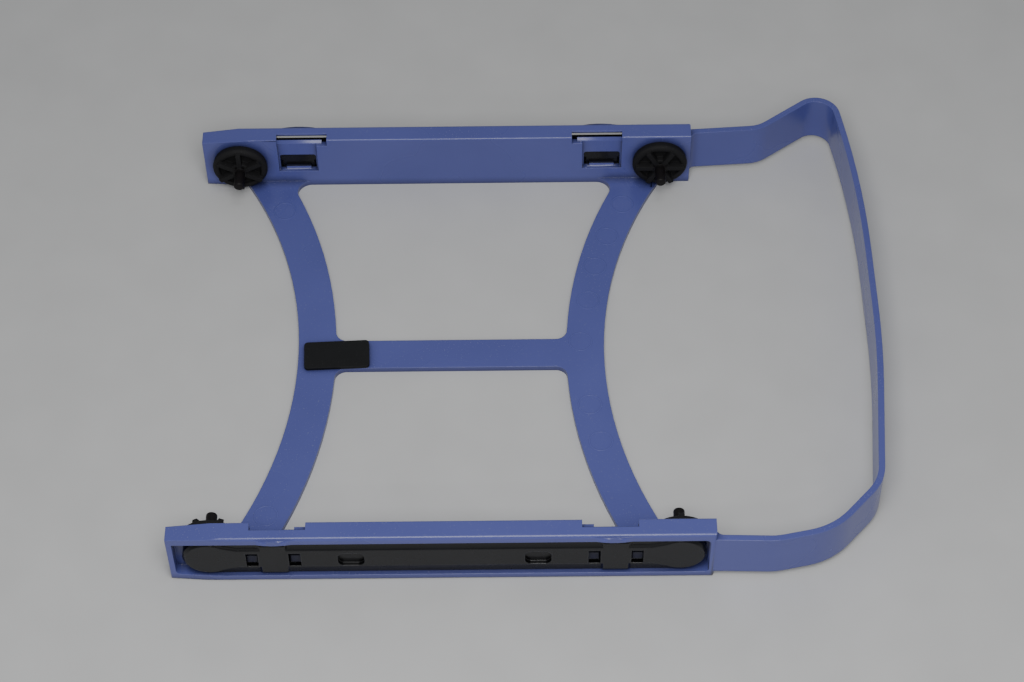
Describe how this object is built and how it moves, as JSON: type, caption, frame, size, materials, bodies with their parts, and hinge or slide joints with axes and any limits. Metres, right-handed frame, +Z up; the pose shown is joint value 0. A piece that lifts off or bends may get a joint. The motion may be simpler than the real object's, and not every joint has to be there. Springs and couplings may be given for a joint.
{
  "type": "hot swap drive caddy",
  "caption": "Flexible plastic drive caddy: two channel rails tied by an H-shaped web, a loop handle strap, and rubber-mounted pins that hold a disk drive.",
  "frame": {"origin": "on the underside, midway between the four drive pins", "axes": "+X towards the loop handle, +Y across the bay, +Z up from the underside; the drive's mounting holes lie along X"},
  "size_m": [0.158, 0.1293, 0.016],
  "materials": {
    "frame_plastic": "semi-matte moulded blue-violet plastic",
    "damper_rubber": "matte black moulded rubber",
    "pin_black": "satin black coated steel",
    "pad_black": "dull black rubber pad"
  },
  "bodies": {
    "root": {"tray_frame": "frame_plastic", "cross_pad": "pad_black", "damper_strip_near": "damper_rubber", "damper_strip_far": "damper_rubber", "drive_pin_near_rear": "pin_black", "drive_pin_near_front": "pin_black", "drive_pin_far_rear": "pin_black", "drive_pin_far_front": "pin_black"}
  },
  "joints": []
}
